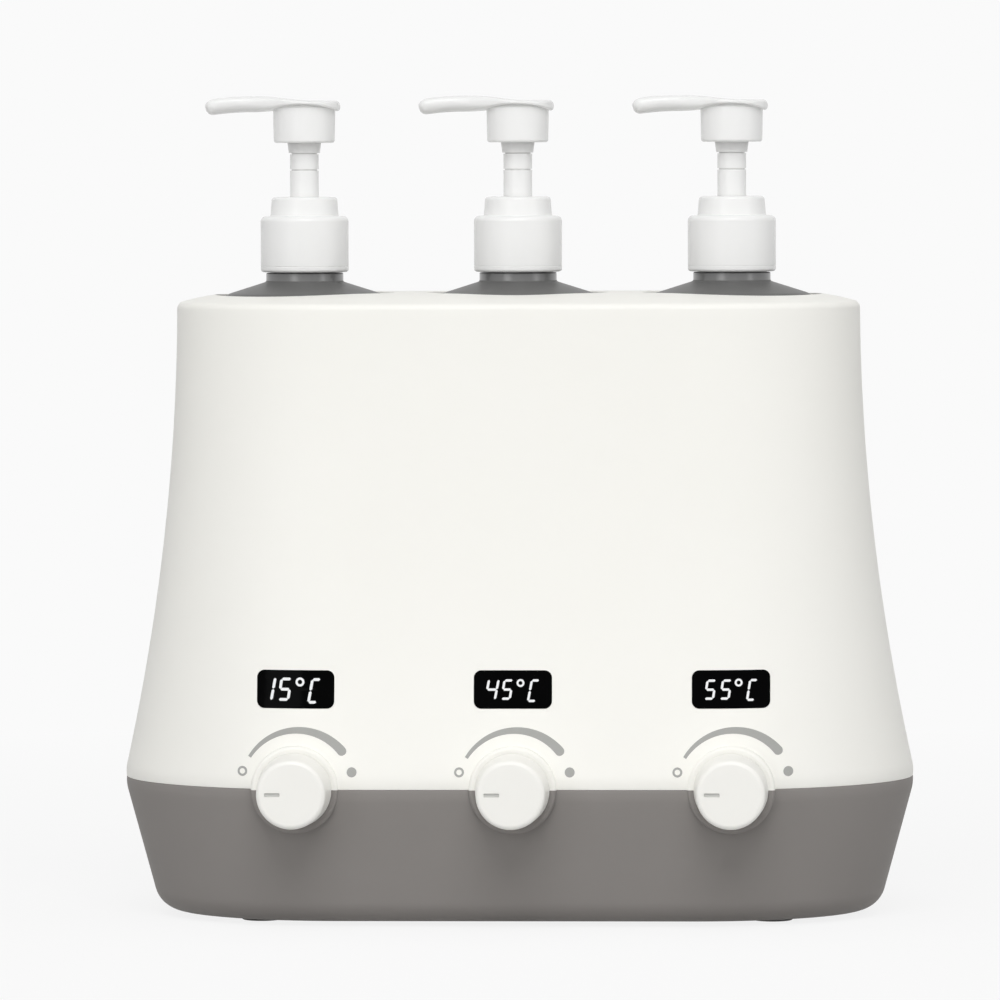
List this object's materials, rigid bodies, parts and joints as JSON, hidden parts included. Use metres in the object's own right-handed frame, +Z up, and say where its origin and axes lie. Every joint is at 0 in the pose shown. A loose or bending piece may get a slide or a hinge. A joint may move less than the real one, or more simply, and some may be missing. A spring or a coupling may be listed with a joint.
{
  "type": "massage oil warmer",
  "caption": "Countertop warmer with bottles of massage oil in heated wells, each with a push-down lotion pump, a temperature display and a dial on the flared housing.",
  "frame": {"origin": "on the table, under the middle of the object's bounding box; the row of bottles stands 11.3 mm behind it", "axes": "+Z up, +X to the right when facing the displays and dials, -Y out of the front, towards the user"},
  "size_m": [0.2862, 0.1569, 0.2968],
  "materials": {
    "housing_shell": "fine matte, warm white, with grey printed dial marks",
    "pan_shell": "fine matte, warm grey",
    "rubber_feet": "matte black",
    "screw_steel": "zinc plated",
    "board": "green solder mask with black parts",
    "electronics": "dark moulded housings",
    "inlet": "black",
    "contacts": "plated",
    "cup_metal": "drawn, satin",
    "heater": "foil heater on a steel disc",
    "display": "display block with lit segments",
    "window": "smoked black, polished",
    "knob": "white, satin face",
    "shaft": "turned",
    "bottle": "dark grey, satin",
    "pump_white": "white, lightly polished",
    "pump_clear": "natural milky plastic",
    "seal": "soft, pale",
    "spring_steel": "bright wire"
  },
  "bodies": {
    "warmer": {"housing": "housing_shell", "base_pan": "pan_shell", "feet": "rubber_feet", "case_screws": "screw_steel", "control_board": "board", "dial_sensors": "electronics", "cup_sensors": "electronics", "mains_inlet": "inlet", "inlet_pins": "contacts", "left_cup": "cup_metal", "left_heater": "heater", "left_display": "display", "left_window": "window", "centre_cup": "cup_metal", "centre_heater": "heater", "centre_display": "display", "centre_window": "window", "right_cup": "cup_metal", "right_heater": "heater", "right_display": "display", "right_window": "window"},
    "left_dial": {"left_knob": "knob", "left_knob_shaft": "shaft"},
    "left_flask": {"left_bottle": "bottle"},
    "left_pump": {"left_pump_chamber": "pump_clear", "left_gasket": "seal", "left_stem_guide": "pump_clear", "left_dip_tube": "pump_clear", "left_check_ball": "spring_steel"},
    "left_cap": {"left_closure": "pump_white"},
    "left_plunger": {"left_piston": "seal", "left_spring": "spring_steel"},
    "left_top": {"left_pump_head": "pump_white", "left_stem": "pump_white"},
    "centre_dial": {"centre_knob": "knob", "centre_knob_shaft": "shaft"},
    "centre_flask": {"centre_bottle": "bottle"},
    "centre_pump": {"centre_pump_chamber": "pump_clear", "centre_gasket": "seal", "centre_stem_guide": "pump_clear", "centre_dip_tube": "pump_clear", "centre_check_ball": "spring_steel"},
    "centre_cap": {"centre_closure": "pump_white"},
    "centre_plunger": {"centre_piston": "seal", "centre_spring": "spring_steel"},
    "centre_top": {"centre_pump_head": "pump_white", "centre_stem": "pump_white"},
    "right_dial": {"right_knob": "knob", "right_knob_shaft": "shaft"},
    "right_flask": {"right_bottle": "bottle"},
    "right_pump": {"right_pump_chamber": "pump_clear", "right_gasket": "seal", "right_stem_guide": "pump_clear", "right_dip_tube": "pump_clear", "right_check_ball": "spring_steel"},
    "right_cap": {"right_closure": "pump_white"},
    "right_plunger": {"right_piston": "seal", "right_spring": "spring_steel"},
    "right_top": {"right_pump_head": "pump_white", "right_stem": "pump_white"}
  },
  "joints": [
    {"name": "left_dial_turn", "type": "hinge", "parent": "warmer", "child": "left_dial", "pos_m": [-0.0775, -0.0662, 0.0503], "axis": [0, 1, 0], "range_deg": [0, 180]},
    {"name": "left_bottle_lift", "type": "slide", "parent": "warmer", "child": "left_flask", "axis": [0, 0, 1], "range_m": [0, 0.18]},
    {"name": "left_pump_rise", "type": "slide", "parent": "left_flask", "child": "left_pump", "axis": [0, 0, 1], "range_m": [0, 0.00635]},
    {"name": "left_closure_turn", "type": "hinge", "parent": "left_pump", "child": "left_cap", "pos_m": [-0.0775, 0.0113, 0.2435], "axis": [0, 0, 1], "range_deg": [0, 540]},
    {"name": "left_press", "type": "slide", "parent": "left_pump", "child": "left_plunger", "axis": [0, 0, 1], "range_m": [-0.015, 0], "stiffness_N_per_m": 400, "springref_m": 0.008, "deforming": ["left_spring"]},
    {"name": "left_head_swivel", "type": "hinge", "parent": "left_plunger", "child": "left_top", "pos_m": [-0.0775, 0.0113, 0.2715], "axis": [0, 0, 1], "continuous": true},
    {"name": "centre_dial_turn", "type": "hinge", "parent": "warmer", "child": "centre_dial", "pos_m": [0, -0.0662, 0.0503], "axis": [0, 1, 0], "range_deg": [0, 180]},
    {"name": "centre_bottle_lift", "type": "slide", "parent": "warmer", "child": "centre_flask", "axis": [0, 0, 1], "range_m": [0, 0.18]},
    {"name": "centre_pump_rise", "type": "slide", "parent": "centre_flask", "child": "centre_pump", "axis": [0, 0, 1], "range_m": [0, 0.00635]},
    {"name": "centre_closure_turn", "type": "hinge", "parent": "centre_pump", "child": "centre_cap", "pos_m": [0, 0.0113, 0.2435], "axis": [0, 0, 1], "range_deg": [0, 540]},
    {"name": "centre_press", "type": "slide", "parent": "centre_pump", "child": "centre_plunger", "axis": [0, 0, 1], "range_m": [-0.015, 0], "stiffness_N_per_m": 400, "springref_m": 0.008, "deforming": ["centre_spring"]},
    {"name": "centre_head_swivel", "type": "hinge", "parent": "centre_plunger", "child": "centre_top", "pos_m": [0, 0.0113, 0.2715], "axis": [0, 0, 1], "continuous": true},
    {"name": "right_dial_turn", "type": "hinge", "parent": "warmer", "child": "right_dial", "pos_m": [0.0775, -0.0662, 0.0503], "axis": [0, 1, 0], "range_deg": [0, 180]},
    {"name": "right_bottle_lift", "type": "slide", "parent": "warmer", "child": "right_flask", "axis": [0, 0, 1], "range_m": [0, 0.18]},
    {"name": "right_pump_rise", "type": "slide", "parent": "right_flask", "child": "right_pump", "axis": [0, 0, 1], "range_m": [0, 0.00635]},
    {"name": "right_closure_turn", "type": "hinge", "parent": "right_pump", "child": "right_cap", "pos_m": [0.0775, 0.0113, 0.2435], "axis": [0, 0, 1], "range_deg": [0, 540]},
    {"name": "right_press", "type": "slide", "parent": "right_pump", "child": "right_plunger", "axis": [0, 0, 1], "range_m": [-0.015, 0], "stiffness_N_per_m": 400, "springref_m": 0.008, "deforming": ["right_spring"]},
    {"name": "right_head_swivel", "type": "hinge", "parent": "right_plunger", "child": "right_top", "pos_m": [0.0775, 0.0113, 0.2715], "axis": [0, 0, 1], "continuous": true}
  ],
  "couplings": [
    {"joint": "left_closure_turn", "follows": "left_pump_rise", "rad_per_m": 1484.3},
    {"joint": "centre_closure_turn", "follows": "centre_pump_rise", "rad_per_m": 1484.3},
    {"joint": "right_closure_turn", "follows": "right_pump_rise", "rad_per_m": 1484.3}
  ]
}
